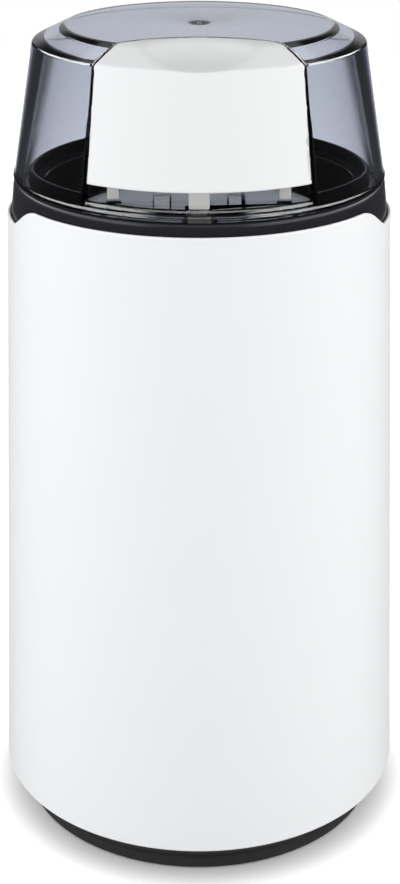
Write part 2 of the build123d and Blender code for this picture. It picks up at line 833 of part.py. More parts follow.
def armature_core():
    lamination = Circle(armature_r) - Circle(shaft_r + press_gap)
    mouth_r = armature_r - slot_mouth_depth / 2
    mouth = Pos(mouth_r, 0) * Rectangle(slot_mouth_depth * 2, slot_mouth)
    for index, slot in enumerate(slot_outline(0)):
        lamination -= slot + Rot(0, 0, 360 * index / slot_count) * mouth
    return Pos(0, 0, stator_low_z) * extrude(lamination, stator_stack)


def armature_windings():
    outer_r = armature_r - slot_mouth_depth
    winding = None
    for low_z in (stator_low_z - winding_overhang, stator_top_z):
        end = ring(outer_r, winding_inner_r, low_z, low_z + winding_overhang)
        face_z = low_z if low_z < stator_low_z else low_z + winding_overhang
        rim = end.edges().filter_by_position(Axis.Z, face_z, face_z).sort_by(SortBy.LENGTH)[-1]
        end = chamfer(rim, winding_chamfer)
        winding = end if winding is None else winding + end
    for slot in slot_outline(slip_gap):
        winding += Pos(0, 0, stator_low_z) * extrude(slot, stator_stack)
    return winding


def commutator():
    face = Circle(commutator_r) - Circle(shaft_r + press_gap)
    groove = Pos(commutator_r, 0) * Rectangle(2 * commutator_groove_depth, commutator_groove)
    for index in range(slot_count):
        face -= Rot(0, 0, 360 * index / slot_count) * groove
    return Pos(0, 0, commutator_low_z) * extrude(face, commutator_length)


def cooling_fan():
    fan = post(fan_hub_r, fan_low_z, fan_top_z) + post(fan_r, fan_top_z - fan_disc, fan_top_z)
    middle_r = (fan_vane_inner_r + fan_r) / 2
    spine = ThreePointArc((fan_hub_r - fan_vane, 0), (middle_r, fan_vane_bulge), (fan_r - fan_vane, 0))
    outline = make_face(
        [
            spine.edge(),
            (Pos(0, fan_vane) * spine).edge(),
            Line((fan_hub_r - fan_vane, 0), (fan_hub_r - fan_vane, fan_vane)),
            Line((fan_r - fan_vane, 0), (fan_r - fan_vane, fan_vane)),
        ]
    )
    vane = Pos(0, 0, fan_low_z) * extrude(outline, fan_height - fan_disc / 2)
    for index in range(fan_vane_count):
        fan += Rot(0, 0, 360 * index / fan_vane_count) * vane
    return fan - post(shaft_r + press_gap, fan_low_z - overrun, fan_top_z + overrun)


def brush_bar(side, near, far):
    """Square bars along Y on both sides of the commutator."""
    bars = []
    for sign in (1, -1):
        middle = sign * (near + far) / 2
        bars.append(Pos(0, middle, brush_z) * Box(side, far - near, side))
    return bars


def brush_holders():
    inner = brush_side + 2 * slip_gap
    outer = inner + 2 * holder_wall
    shells = brush_bar(outer, holder_near_y, holder_far_y)
    bores = brush_bar(inner, holder_near_y - overrun, holder_far_y - holder_wall)
    solids = [(shell - bore).solid() for shell, bore in zip(shells, bores)]
    return Compound(solids)


def carbon_brushes():
    return Compound([bar.solid() for bar in brush_bar(brush_side, brush_near_y, brush_far_y)])


def brush_springs():
    far_y = holder_far_y - holder_wall
    length = far_y - brush_far_y
    middle = (far_y + brush_far_y) / 2
    springs = []
    for sign in (1, -1):
        springs.append(across(brush_spring_r, length, 0, sign * middle, brush_z).solid())
    return Compound(springs)


def lower_bridge():
    bridge = post(bridge_r, bridge_low_z, bridge_top_z) & block(
        stator_width, stator_depth, bridge_low_z, bridge_top_z)
    bridge += post(bridge_boss_r, bridge_low_z - bridge_boss_drop, bridge_top_z + bridge_boss_rise)
    for x, y in motor_screw_points():
        bridge += post(pillar_r, bridge_low_z, stator_low_z, x, y)
    block_near_y = holder_near_y + holder_wall
    block_depth = holder_far_y - block_near_y
    block_top_z = brush_z + brush_block / 2
    for sign in (1, -1):
        middle_y = sign * (block_near_y + holder_far_y) / 2
        bridge += block(brush_block, block_depth, bridge_low_z, block_top_z, 0, middle_y)
    holder_side = brush_side + 2 * slip_gap + 2 * holder_wall + 2 * press_gap
    for bar in brush_bar(holder_side, holder_near_y - overrun / 2, holder_far_y + overrun):
        bridge -= bar
    bridge -= post(bearing_r + press_gap, bearing_low_z, bearing_top_z + overrun)
    bridge -= post(spigot_r + free_gap, bridge_low_z - overrun, bearing_top_z + overrun)
    for x, y in motor_screw_points():
        bridge -= post(motor_screw_r + slip_gap, bridge_low_z - overrun, stator_low_z + overrun, x, y)
    return bridge


def lower_bearing():
    return ring(bearing_r, spigot_r + running_gap, bearing_low_z, bearing_top_z)


def motor_screws():
    length = stator_top_z + motor_screw_bite - bridge_low_z
    screw = pan_screw(motor_screw_r, length, motor_screw_head_r, motor_screw_head)
    return placed(screw, motor_screw_points(), bridge_low_z)


def base_cover():
    spigot_low_r = sleeve_r(sleeve_bottom_z) - sleeve_wall - slip_gap
    spigot_top_r = sleeve_r(base_spigot_z) - sleeve_wall - slip_gap
    lip_r = sleeve_r(sleeve_bottom_z) - base_lip_inset
    cover = spun(
        (0, base_bottom_z),
        (base_foot_r, base_bottom_z),
        (base_edge_r, base_bottom_z + base_edge_rise),
        (base_edge_r, base_bottom_z + base_plinth_height),
        (lip_r, sleeve_bottom_z),
        (spigot_low_r, sleeve_bottom_z),
        (spigot_top_r, base_spigot_z),
        (base_inner_r, base_spigot_z),
        (base_inner_r, base_floor_z + base_inner_chamfer),
        (base_inner_r - base_inner_chamfer, base_floor_z),
        (0, base_floor_z),
    )
    body = spun(
        (0, sleeve_bottom_z),
        (sleeve_r(sleeve_bottom_z), sleeve_bottom_z),
        (sleeve_r(base_spigot_z), base_spigot_z),
        (0, base_spigot_z),
    )
    wall = body - post(base_inner_r, sleeve_bottom_z, base_spigot_z)
    cover += gland_notch(gland_notch_r - slip_gap) & wall
    for x, y in leg_points():
        cover += post(base_boss_r, base_bottom_z, base_spigot_z, x, y)
    head_top_z = base_bottom_z + base_head_depth
    for x, y in leg_points():
        cover -= post(base_head_clear_r, base_bottom_z - overrun, head_top_z, x, y)
        cover -= post(screw_r + slip_gap, base_bottom_z, base_spigot_z + overrun, x, y)
    for x, y in foot_points():
        cover -= post(foot_r + press_gap, base_bottom_z - overrun, base_bottom_z + foot_inset, x, y)
    slot = Pos(vent_pitch_r, 0) * Rectangle(vent_length, vent_width)
    for index in range(vent_count):
        vent = extrude(Rot(0, 0, 360 * (index + 1 / 2) / vent_count) * slot, base_floor_z + overrun)
        cover -= vent
    rear_y = sleeve_r(sleeve_bottom_z)
    mouth = Plane.XZ * Circle(gland_r + press_gap)
    return cover - Pos(0, rear_y + overrun, gland_z) * extrude(mouth, 4 * overrun)


def base_screws():
    screw = pan_screw(screw_r, base_screw_length, screw_head_r, screw_head)
    return placed(screw, leg_points(), base_bottom_z + base_head_depth)


def rubber_feet():
    pad = post(foot_r, 0, foot_standoff + foot_inset)
    pad = chamfer(pad.edges().sort_by(Axis.Z)[0], foot_soft_r)
    return placed(pad, foot_points(), 0)


def cord_gland():
    face_y = sleeve_r(gland_z) - gland_face_inset
    flange_y = math.sqrt(base_inner_r ** 2 - gland_flange_r ** 2)
    barrel = Pos(0, face_y, gland_z) * extrude(Plane.XZ * Circle(gland_r), face_y - flange_y)
    flange = Pos(0, flange_y, gland_z) * extrude(Plane.XZ * Circle(gland_flange_r), gland_flange)
    bore_length = face_y - flange_y + gland_flange + 2 * overrun
    bore = Pos(0, face_y + overrun, gland_z) * extrude(Plane.XZ * Circle(gland_bore_r), bore_length)
    return barrel + flange - bore


def suppressor_capacitor():
    top_z = base_floor_z + capacitor_height
    can = block(capacitor_width, capacitor_depth, base_floor_z, top_z, capacitor_x)
    uprights = can.edges().filter_by(Axis.Z)
    return fillet(uprights, capacitor_soft_r)


makers = [
    outer_sleeve, collar, bowl_gasket, grinding_bowl, lid_shell, button_cap, push_rod, rod_spring,
    switch_body, lever_pin, switch_lever, switch_terminals, shaft_bush, bush_nut, shaft_seal, blade_spacer,
    blade, blade_nut, motor_shaft, motor_mount, mount_dampers, mount_screws, stator_core, field_coils,
    armature_core, armature_windings, commutator, cooling_fan, brush_holders, carbon_brushes, brush_springs,
    lower_bridge, lower_bearing, motor_screws, base_cover, base_screws, rubber_feet, cord_gland,
    suppressor_capacitor,
]

os.makedirs("parts", exist_ok=True)
for maker in makers:
    export_step(maker(), f"parts/{maker.__name__}.step")
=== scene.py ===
"""Looks of an electric blade coffee grinder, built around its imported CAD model.

Metres, +Z up, front towards -Y. Each section dresses one piece, from the table up.
"""

import json
import math

import bmesh
import bpy
from mathutils import Matrix, Vector


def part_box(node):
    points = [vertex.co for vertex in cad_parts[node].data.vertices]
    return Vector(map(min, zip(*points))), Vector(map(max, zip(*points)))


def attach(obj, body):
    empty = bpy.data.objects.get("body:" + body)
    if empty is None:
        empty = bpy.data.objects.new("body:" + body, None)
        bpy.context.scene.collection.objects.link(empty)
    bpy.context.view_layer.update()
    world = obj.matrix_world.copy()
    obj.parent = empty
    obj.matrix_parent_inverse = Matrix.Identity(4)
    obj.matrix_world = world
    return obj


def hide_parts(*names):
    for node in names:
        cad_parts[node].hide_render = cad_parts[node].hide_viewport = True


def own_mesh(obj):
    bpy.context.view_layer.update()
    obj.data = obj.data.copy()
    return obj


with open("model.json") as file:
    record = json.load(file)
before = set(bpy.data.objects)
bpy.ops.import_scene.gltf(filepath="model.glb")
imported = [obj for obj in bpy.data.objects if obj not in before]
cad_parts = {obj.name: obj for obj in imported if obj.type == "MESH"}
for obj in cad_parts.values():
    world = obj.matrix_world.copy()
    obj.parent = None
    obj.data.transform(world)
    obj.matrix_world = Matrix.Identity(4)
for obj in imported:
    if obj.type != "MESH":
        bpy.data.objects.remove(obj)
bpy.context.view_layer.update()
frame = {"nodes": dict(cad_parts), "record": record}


# Base cover: a shallow black moulding that closes the motor space from below. Its spigot fits
# inside the sleeve, four screws draw it up, and slots in its floor let the fan's air out.

def lathe(corners, soft, steps=192, closed=False, run=None):
    """Mesh of revolution about Z from (radius, height) corners.

    soft rounds corners, as index: (size, segments); run divides long sides.
    """
    bm = bmesh.new()
    points = [bm.verts.new((radius, 0, height)) for radius, height in corners]
    for start, end in zip(points, points[1:]):
        bm.edges.new((start, end))
    if closed:
        bm.edges.new((points[-1], points[0]))
    for index, (size, segments) in soft.items():
        bmesh.ops.bevel(bm, geom=[points[index]], offset=size, segments=segments, profile=0.5,
                        affect="VERTICES", material=-1)
    for edge in bm.edges[:] if run else []:
        bmesh.ops.subdivide_edges(bm, edges=[edge], cuts=int(edge.calc_length() / run))
    bmesh.ops.spin(bm, geom=bm.verts[:] + bm.edges[:], cent=(0, 0, 0), axis=(0, 0, 1),
                   angle=math.tau, steps=steps, use_merge=True)
    bmesh.ops.remove_doubles(bm, verts=bm.verts[:], dist=1e-6)
    bmesh.ops.recalc_face_normals(bm, faces=bm.faces[:])
    return bm


def post(radius, low, high, x=0.0, y=0.0, steps=48):
    """Upright round bar."""
    bm = bmesh.new()
    bmesh.ops.create_cone(bm, cap_ends=True, segments=steps, radius1=radius, radius2=radius,
                          depth=high - low)
    bmesh.ops.translate(bm, verts=bm.verts[:], vec=(x, y, (low + high) / 2))
    return bm


def block(width, depth, low, high, x=0.0, y=0.0, soft=0.0):
    """Upright rectangular bar, with rounded edges where a size is given."""
    bm = bmesh.new()
    bmesh.ops.create_cube(bm, size=1)
    bmesh.ops.scale(bm, verts=bm.verts[:], vec=(width, depth, high - low))
    bmesh.ops.translate(bm, verts=bm.verts[:], vec=(x, y, (low + high) / 2))
    if soft:
        bmesh.ops.bevel(bm, geom=bm.edges[:], offset=soft, segments=3, profile=0.5,
                        affect="EDGES", material=-1)
    return bm


def moved(bm, matrix):
    """The same mesh after a turn or a shift."""
    bmesh.ops.transform(bm, matrix=matrix, verts=bm.verts[:])
    return bm


def placed(name, bm):
    """A mesh as an object at the origin."""
    mesh = bpy.data.meshes.new(name)
    bm.to_mesh(mesh)
    bm.free()
    obj = bpy.data.objects.new(name, mesh)
    bpy.context.scene.collection.objects.link(obj)
    return obj


def carved(bm, tools, operation="DIFFERENCE"):
    """The mesh with tool meshes cut out of it, added to it, or kept only where both are."""
    work = placed("work", bm)
    cutters = [placed("cutter", tool) for tool in tools]
    for cutter in cutters:
        change = work.modifiers.new("carve", "BOOLEAN")
        change.operation = operation
        change.solver = "EXACT"
        change.object = cutter
    bpy.context.view_layer.update()
    graph = bpy.context.evaluated_depsgraph_get()
    shape = bpy.data.meshes.new_from_object(work.evaluated_get(graph))
    result = bmesh.new()
    result.from_mesh(shape)
    bpy.data.meshes.remove(shape)
    for obj in [work, *cutters]:
        bpy.data.objects.remove(obj)
    return result


def dressed(name, bm, material, body, slot, *nodes, edge=0.0, angle=30.0):
    """A finished piece that stands for CAD nodes: smooth faces, rounded edges, one material."""
    bmesh.ops.remove_doubles(bm, verts=bm.verts[:], dist=2e-5)
    obj = placed(name, bm)
    obj.data.shade_smooth()
    obj.data.set_sharp_from_angle(angle=math.radians(angle))
    obj.data.materials.append(material)
    if edge:
        soft = obj.modifiers.new("rounded edges", "BEVEL")
        soft.width = edge
        soft.segments = 3
        soft.limit_method = "ANGLE"
        soft.angle_limit = math.radians(angle)
        soft.use_clamp_overlap = False
    even = obj.modifiers.new("even shading", "WEIGHTED_NORMAL")
    even.keep_sharp = True
    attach(obj, body)
    if nodes:
        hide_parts(*nodes)
    return obj


def grain_group():
    """Shared fine grain: breaks up a colour, a roughness and a height over a surface."""
    group = bpy.data.node_groups.new("fine grain", "ShaderNodeTree")
    sockets = (("Colour", "NodeSocketColor"), ("Tone", "NodeSocketFloat"), ("Roughness", "NodeSocketFloat"),
               ("Spread", "NodeSocketFloat"), ("Scale", "NodeSocketFloat"))
    for name, kind in sockets:
        group.interface.new_socket(name, in_out="INPUT", socket_type=kind)
    for name, kind in (sockets[0], sockets[2], ("Height", "NodeSocketFloat")):
        group.interface.new_socket(name, in_out="OUTPUT", socket_type=kind)
    nodes, links = group.nodes, group.links
    given, out = nodes.new("NodeGroupInput"), nodes.new("NodeGroupOutput")
    place = nodes.new("ShaderNodeTexCoord")
    broad, fine = nodes.new("ShaderNodeTexNoise"), nodes.new("ShaderNodeTexNoise")
    broad.inputs["Scale"].default_value = 45.0
    broad.inputs["Detail"].default_value = 4.0
    fine.inputs["Detail"].default_value = 3.0
    links.new(place.outputs["Object"], broad.inputs["Vector"])
    links.new(place.outputs["Object"], fine.inputs["Vector"])
    links.new(given.outputs["Scale"], fine.inputs["Scale"])
    darker = nodes.new("ShaderNodeMath")
    darker.operation = "MULTIPLY"
    links.new(broad.outputs["Fac"], darker.inputs[0])
    links.new(given.outputs["Tone"], darker.inputs[1])
    share = nodes.new("ShaderNodeMath")
    share.operation = "SUBTRACT"
    share.inputs[0].default_value = 1.0
    links.new(darker.outputs[0], share.inputs[1])
    tint = nodes.new("ShaderNodeVectorMath")
    tint.operation = "SCALE"
    links.new(given.outputs["Colour"], tint.inputs[0])
    links.new(share.outputs[0], tint.inputs["Scale"])
    links.new(tint.outputs[0], out.inputs["Colour"])
    centred = nodes.new("ShaderNodeMath")
    centred.operation = "SUBTRACT"
    links.new(fine.outputs["Fac"], centred.inputs[0])
    centred.inputs[1].default_value = 0.5
    rough = nodes.new("ShaderNodeMath")
    rough.operation = "MULTIPLY_ADD"
    links.new(centred.outputs[0], rough.inputs[0])
    links.new(given.outputs["Spread"], rough.inputs[1])
    links.new(given.outputs["Roughness"], rough.inputs[2])
    links.new(rough.outputs[0], out.inputs["Roughness"])
    links.new(fine.outputs["Fac"], out.inputs["Height"])
    return group


grain = grain_group()


def coating(name, colour, roughness, tone=0.06, spread=0.12, scale=1800.0, relief=0.1, specular=0.5):
    """Painted, moulded or rubber finish whose grain comes from the shared group."""
    material = bpy.data.materials.new(name)
    material.use_nodes = True
    nodes, links = material.node_tree.nodes, material.node_tree.links
    shader = nodes["Principled BSDF"]
    shader.inputs["Specular IOR Level"].default_value = specular
    texture = nodes.new("ShaderNodeGroup")
    texture.node_tree = grain
    for socket, value in (("Colour", (*colour, 1.0)), ("Tone", tone), ("Roughness", roughness),
                          ("Spread", spread), ("Scale", scale)):
        texture.inputs[socket].default_value = value
    links.new(texture.outputs["Colour"], shader.inputs["Base Color"])
    links.new(texture.outputs["Roughness"], shader.inputs["Roughness"])
    bump = nodes.new("ShaderNodeBump")
    bump.inputs["Strength"].default_value = relief
    bump.inputs["Distance"].default_value = 0.0002
    links.new(texture.outputs["Height"], bump.inputs["Height"])
    links.new(bump.outputs["Normal"], shader.inputs["Normal"])
    return material


black_plastic = coating("black plastic", (0.034, 0.034, 0.036), 0.5, tone=0.25, relief=0.12, specular=0.28)

spigot_r, spigot_top, base_rim_z = 0.0420, 0.0170, 0.0078
base_profile = [(0, 0.0004), (0.0402, 0.0004), (0.0402, 0.0032), (0.0448, base_rim_z),
                (0.04425, base_rim_z), (0.0440, spigot_top), (spigot_r, spigot_top), (spigot_r, 0.0070),
                (0.0384, 0.0034), (0, 0.0034)]
base = lathe(base_profile, {1: (0.0003, 4), 2: (0.0006, 3), 3: (0.0003, 3)})
quarter = math.pi / 2


def quarters(radius, first):
    """Four places (x, y) round the axis, a quarter turn apart."""
    turns = [quarter * (n + first) for n in range(4)]
    return [(radius * math.cos(turn), radius * math.sin(turn)) for turn in turns]


screw_places, foot_places = quarters(0.0355, 0.5), quarters(0.0330, 0)
foot_r, foot_top = 0.0050, 0.0016
below_z = -0.0010
vent_count = 20
base = carved(base, [post(0.0044, 0.0020, spigot_top, x, y) for x, y in screw_places], "UNION")
wells = [post(0.0036, below_z, 0.0090, x, y) for x, y in screw_places]
seats = [post(foot_r, below_z, foot_top, x, y) for x, y in foot_places]
vents = []
for n in range(vent_count):
    vent = block(0.0110, 0.0024, below_z, 0.0060, 0.0220)
    vents.append(moved(vent, Matrix.Rotation(math.tau * (n + 0.5) / vent_count, 4, "Z")))
base = carved(base, wells + seats + vents)

# A tab of the base fills the arched notch in the rear of the sleeve, around the cord gland
hem_r = 0.0450
gland_r, gland_z = 0.0040, 0.0117
tab_r, notch_r = 0.00485, 0.0050
notch_turn = Matrix.Translation((0, hem_r, gland_z)) @ Matrix.Rotation(quarter, 4, "X")


def arch(radius):
    """Arch-topped bar through the rear wall at the gland."""
    reach, foot = 0.0050, 0.0050
    bm = post(radius, -reach, reach)
    for vert in bm.verts:
        if vert.co.y < -1e-6:
            vert.co.y = -foot
    return moved(bm, notch_turn)


def gland_hole():
    """Round bar through the rear wall at the gland."""
    reach = 0.0100
    return moved(post(gland_r, -reach, reach), notch_turn)


tab_low = 0.0079
wall_profile = [(spigot_r, tab_low), (hem_r, tab_low), (0.04476, spigot_top), (spigot_r, spigot_top)]
wall = lathe(wall_profile, {}, closed=True)
tab = carved(carved(wall, [arch(tab_r)], "INTERSECT"), [gland_hole()])
base = carved(base, [gland_hole()])
base = carved(base, [tab], "UNION")
dressed("base", base, black_plastic, "housing", "black_plastic", "base_cover", edge=0.0002)


# Rubber feet: four dark pads pressed into round seats in the base, with a worn soft lower edge.
# They carry the grinder and keep it from creeping as the motor starts.

def joined(parts):
    """Several meshes as one."""
    whole = bmesh.new()
    for part in parts:
        shape = bpy.data.meshes.new("part")
        part.to_mesh(shape)
        part.free()
        whole.from_mesh(shape)
        bpy.data.meshes.remove(shape)
    return whole


rubber = coating("rubber", (0.022, 0.022, 0.022), 0.8, tone=0.3, spread=0.2, scale=2600.0, relief=0.35)
pad_profile = [(0, 0), (foot_r, 0), (foot_r, foot_top), (0, foot_top)]
pads = []
for x, y in foot_places:
    pad = lathe(pad_profile, {1: (0.0004, 4)}, steps=48)
    pads.append(moved(pad, Matrix.Translation((x, y, 0))))
dressed("feet", joined(pads), rubber, "housing", "rubber", "rubber_feet")


# Cord gland: a rubber grommet in the tab at the rear, flanged inside the wall, with a bore
# for the mains lead.

bore_r, gland_flange_r = 0.0032, 0.0046
gland_inner_y, gland_step_y, gland_outer_y = 0.0400, 0.04175, 0.0446
gland_profile = [(bore_r, gland_inner_y), (gland_flange_r, gland_inner_y), (gland_flange_r, gland_step_y),
                 (gland_r, gland_step_y), (gland_r, gland_outer_y), (bore_r, gland_outer_y)]
gland = lathe(gland_profile, {4: (0.0005, 4), 5: (0.0003, 4)}, steps=64, closed=True)
gland = moved(gland, Matrix.Translation((0, 0, gland_z)) @ Matrix.Rotation(-quarter, 4, "X"))
dressed("gland", gland, rubber, "housing", "rubber", "cord_gland")


# Motor, switch and fixings: the pieces inside, which keep their CAD shapes and get their finishes.
# Steel is drawn or plated, copper is enamelled wire, laminations are punched sheet, plastics are moulded.

def metal(name, colour, roughness, lines):
    """Bare metal with drawn lines; lines stretches the noise along X, Y and Z."""
    material = bpy.data.materials.new(name)
    material.use_nodes = True
    nodes, links = material.node_tree.nodes, material.node_tree.links
    shader = nodes["Principled BSDF"]
    shader.inputs["Base Color"].default_value = (*colour, 1.0)
    shader.inputs["Metallic"].default_value = 1.0
    place, stretch = nodes.new("ShaderNodeTexCoord"), nodes.new("ShaderNodeMapping")
    stretch.inputs["Scale"].default_value = lines
    noise, spread = nodes.new("ShaderNodeTexNoise"), nodes.new("ShaderNodeMapRange")
    noise.inputs["Scale"].default_value = 1.0
    noise.inputs["Detail"].default_value = 5.0
    spread.inputs["To Min"].default_value = roughness * 0.7
    spread.inputs["To Max"].default_value = roughness * 1.3
    bump = nodes.new("ShaderNodeBump")
    bump.inputs["Strength"].default_value = 0.08
    bump.inputs["Distance"].default_value = 0.0001
    links.new(place.outputs["Object"], stretch.inputs["Vector"])
    links.new(stretch.outputs["Vector"], noise.inputs["Vector"])
    links.new(noise.outputs["Fac"], spread.inputs["Value"])
    links.new(spread.outputs["Result"], shader.inputs["Roughness"])
    links.new(noise.outputs["Fac"], bump.inputs["Height"])
    links.new(bump.outputs["Normal"], shader.inputs["Normal"])
    return material


zinc_steel = metal("zinc plated steel", (0.60, 0.60, 0.62), 0.34, (900, 900, 900))
cad_finishes = {
    "black_plastic": black_plastic,
    "grey_plastic": coating("grey plastic", (0.20, 0.20, 0.21), 0.5, tone=0.12),
    "natural_plastic": coating("natural plastic", (0.80, 0.78, 0.71), 0.42, tone=0.05),
    "zinc_steel": zinc_steel,
    "stainless": metal("stainless steel", (0.66, 0.66, 0.66), 0.26, (220, 2600, 2600)),
    "lamination": metal("lamination steel", (0.20, 0.20, 0.21), 0.5, (60, 60, 4200)),
    "copper": metal("enamelled copper", (0.68, 0.29, 0.13), 0.32, (500, 500, 3200)),
    "bronze": metal("sintered bronze", (0.58, 0.41, 0.21), 0.42, (1400, 1400, 1400)),
    "carbon": coating("carbon", (0.045, 0.045, 0.047), 0.6, tone=0.3),
    "rubber": rubber,
    "capacitor_case": coating("capacitor case", (0.72, 0.58, 0.10), 0.4, tone=0.08),
}
slots = {part["node"]: part["material_slot"] for part in frame["record"]["subparts"]}
for node, obj in frame["nodes"].items():
    if slots[node] in cad_finishes:
        obj.data.materials.clear()
        obj.data.materials.append(cad_finishes[slots[node]])


# Return spring: five turns of round zinc plated wire around the push rod, between the motor mount
# and the rod's flange. It lifts rod and button again; pressed, it shortens, but here it keeps its rest
# length.

rod_y = -0.0376
spring_low, spring_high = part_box("rod_spring")
spring_length, rod_travel = spring_high[2] - spring_low[2], 0.0030
spring_foot = Vector((0, rod_y, spring_low[2]))
coil_r, turns, turn_steps = 0.0030, 5, 32
wire_r, wire_sides = 0.00035, 12
coil = bmesh.new()
bmesh.ops.create_circle(coil, segments=wire_sides, radius=wire_r)
wire_start = Matrix.Translation(spring_foot + Vector((coil_r, 0, wire_r)))
coil = moved(coil, wire_start @ Matrix.Rotation(quarter, 4, "X"))
climb = (spring_length - 2 * wire_r) / (turns * turn_steps)
bmesh.ops.spin(coil, geom=coil.verts[:] + coil.edges[:], cent=spring_foot, axis=(0, 0, 1),
               angle=math.tau * turns, steps=turns * turn_steps, dvec=(0, 0, climb))
bmesh.ops.holes_fill(coil, edges=[edge for edge in coil.edges if edge.is_boundary], sides=wire_sides)
bmesh.ops.recalc_face_normals(coil, faces=coil.faces[:])
spring = dressed("return_spring", coil, zinc_steel, "housing", "zinc_steel", "rod_spring")
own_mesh(spring)


# Sleeve: the tapered body, rolled from thin steel sheet and enamelled satin white. Its rim is
# turned over into a narrow lip and dips at each side, where a hand lifts the lid.

sleeve_low, dip_low, step_z, sleeve_top = base_rim_z, 0.1150, 0.1421, 0.1434
rim_r, sheet, lip = 0.0414, 0.0006, 0.00012
dip_half, dip_run, dip_depth = 0.0240, 0.0110, 0.0050


def lip_dip(y):
    """How far the rim is lowered at a distance from the middle towards front or rear."""
    share = min(1.0, max(0.0, (dip_half - abs(y)) / dip_run))
    return dip_depth * share * share * (3 - 2 * share)


def flare(z):
    """Outer radius of the sleeve at a height."""
    return rim_r + (hem_r - rim_r) * (sleeve_top - z) / (sleeve_top - sleeve_low)


white_paint = coating("white enamel", (0.88, 0.887, 0.895), 0.36, tone=0.015, spread=0.05, scale=900.0,
                      relief=0.03, specular=0.35)
sleeve_profile = [(flare(sleeve_low), sleeve_low), (flare(dip_low), dip_low), (flare(step_z), step_z),
                  (flare(step_z) + lip, step_z + 0.00025), (rim_r + lip, sleeve_top),
                  (rim_r - sheet, sleeve_top), (flare(dip_low) - sheet, dip_low),
                  (flare(sleeve_low) - sheet, sleeve_low)]
sleeve = lathe(sleeve_profile, {4: (0.00035, 4), 5: (0.0002, 3), 0: (0.0002, 3)}, steps=320, closed=True)
for vert in sleeve.verts:
    rise = (vert.co.z - dip_low) / (step_z - dip_low)
    if rise > 0.01:
        drop = lip_dip(vert.co.y) * min(1.0, rise)
        wider = (flare(vert.co.z - drop) - flare(vert.co.z)) / math.hypot(vert.co.x, vert.co.y)
        vert.co.x *= 1 + wider
        vert.co.y *= 1 + wider
        vert.co.z -= drop
sleeve = carved(sleeve, [arch(notch_r)])
dressed("sleeve", sleeve, white_paint, "housing", "white_paint", "outer_sleeve")


# Collar: the black moulding under the lid. Its flank shows between sleeve and lid, its upstand
# centres the lid and is cut away for the button's pocket, and a slot guides the push rod.

collar_low, waist_z, ledge_low, seat_z = 0.1210, 0.1380, 0.1430, 0.1446
collar_top, upstand_top = 0.1460, 0.1489
ledge_r, upstand_inner_r, upstand_r = 0.0339, 0.03535, 0.0363
collar_profile = [(0.04124, collar_low), (0.04079, waist_z), (0.0400, collar_top), (upstand_r, collar_top),
                  (upstand_r, upstand_top), (upstand_inner_r, upstand_top), (upstand_inner_r, seat_z),
                  (ledge_r, seat_z), (ledge_r, ledge_low), (0.0385, ledge_low), (0.0390, waist_z),
                  (0.03944, collar_low)]
collar_soft = {2: (0.0013, 7), 4: (0.0004, 4), 5: (0.0004, 4)}
collar = lathe(collar_profile, collar_soft, steps=256, closed=True)
pocket_y = -0.0413
pocket_gap = post(0.0270, collar_top, 0.1600, 0, pocket_y, steps=160)
rod_slot = block(0.0050, 0.0032, 0.1300, 0.1500, 0, rod_y)
collar = carved(collar, [pocket_gap, rod_slot])
collar_plastic = coating("satin black plastic", (0.0205, 0.0200, 0.0255), 0.24, tone=0.2, spread=0.06,
                         relief=0.04, specular=0.1)
dressed("collar_ring", collar, collar_plastic, "housing", "black_plastic", "collar", edge=0.00025)


# Grinding bowl: a deep-drawn stainless cup with a flat flange on the collar's gasket. Its wall
# keeps fine lines from polishing in the lathe.

def spun_steel(name, colour, roughness):
    """Stainless steel with polishing lines that run round the piece."""
    material = metal(name, colour, roughness, (3000, 3000, 3000))
    nodes, links = material.node_tree.nodes, material.node_tree.links
    place = next(n for n in nodes if n.type == "TEX_COORD")
    stretch = next(n for n in nodes if n.type == "MAPPING")
    flat, from_axis = nodes.new("ShaderNodeVectorMath"), nodes.new("ShaderNodeVectorMath")
    flat.operation, from_axis.operation = "MULTIPLY", "LENGTH"
    flat.inputs[1].default_value = (1, 1, 0)
    parts, pair = nodes.new("ShaderNodeSeparateXYZ"), nodes.new("ShaderNodeCombineXYZ")
    links.new(place.outputs["Object"], flat.inputs[0])
    links.new(flat.outputs[0], from_axis.inputs[0])
    links.new(place.outputs["Object"], parts.inputs[0])
    links.new(from_axis.outputs["Value"], pair.inputs["X"])
    links.new(parts.outputs["Z"], pair.inputs["Y"])
    links.new(pair.outputs[0], stretch.inputs["Vector"])
    return material


hub_r, bowl_inner_r, bowl_r, flange_r = 0.0064, 0.0330, 0.0336, 0.0350
bowl_low, bowl_floor, flange_low, flange_top = 0.1059, 0.1065, 0.1454, 0.1460
bowl_profile = [(hub_r, bowl_low), (bowl_r, bowl_low), (bowl_r, flange_low), (flange_r, flange_low),
                (flange_r, flange_top), (bowl_inner_r, flange_top), (bowl_inner_r, bowl_floor),
                (hub_r, bowl_floor)]
bowl_soft = {1: (0.0096, 12), 4: (0.0002, 3), 5: (0.0005, 5), 6: (0.0090, 12)}
bowl = lathe(bowl_profile, bowl_soft, closed=True)
bowl_steel = spun_steel("bowl steel", (0.64, 0.64, 0.63), 0.22)
dressed("bowl", bowl, bowl_steel, "housing", "stainless", "grinding_bowl")


# Rim seal: a black rubber ring of U-shaped section, pressed over the bowl's flange before the bowl
# drops into the collar. It keeps ground coffee out of the motor space.

seal_inner_r, seal_r, seal_top = 0.0331, 0.03525, 0.1464
seal_profile = [(ledge_r, seat_z), (seal_r, seat_z), (seal_r, seal_top), (seal_inner_r, seal_top),
                (seal_inner_r, flange_top), (flange_r, flange_top), (flange_r, flange_low),
                (ledge_r, flange_low)]
seal = lathe(seal_profile, {2: (0.0003, 3), 3: (0.00018, 3)}, closed=True)
dressed("rim_seal", seal, rubber, "housing", "rubber", "bowl_gasket")


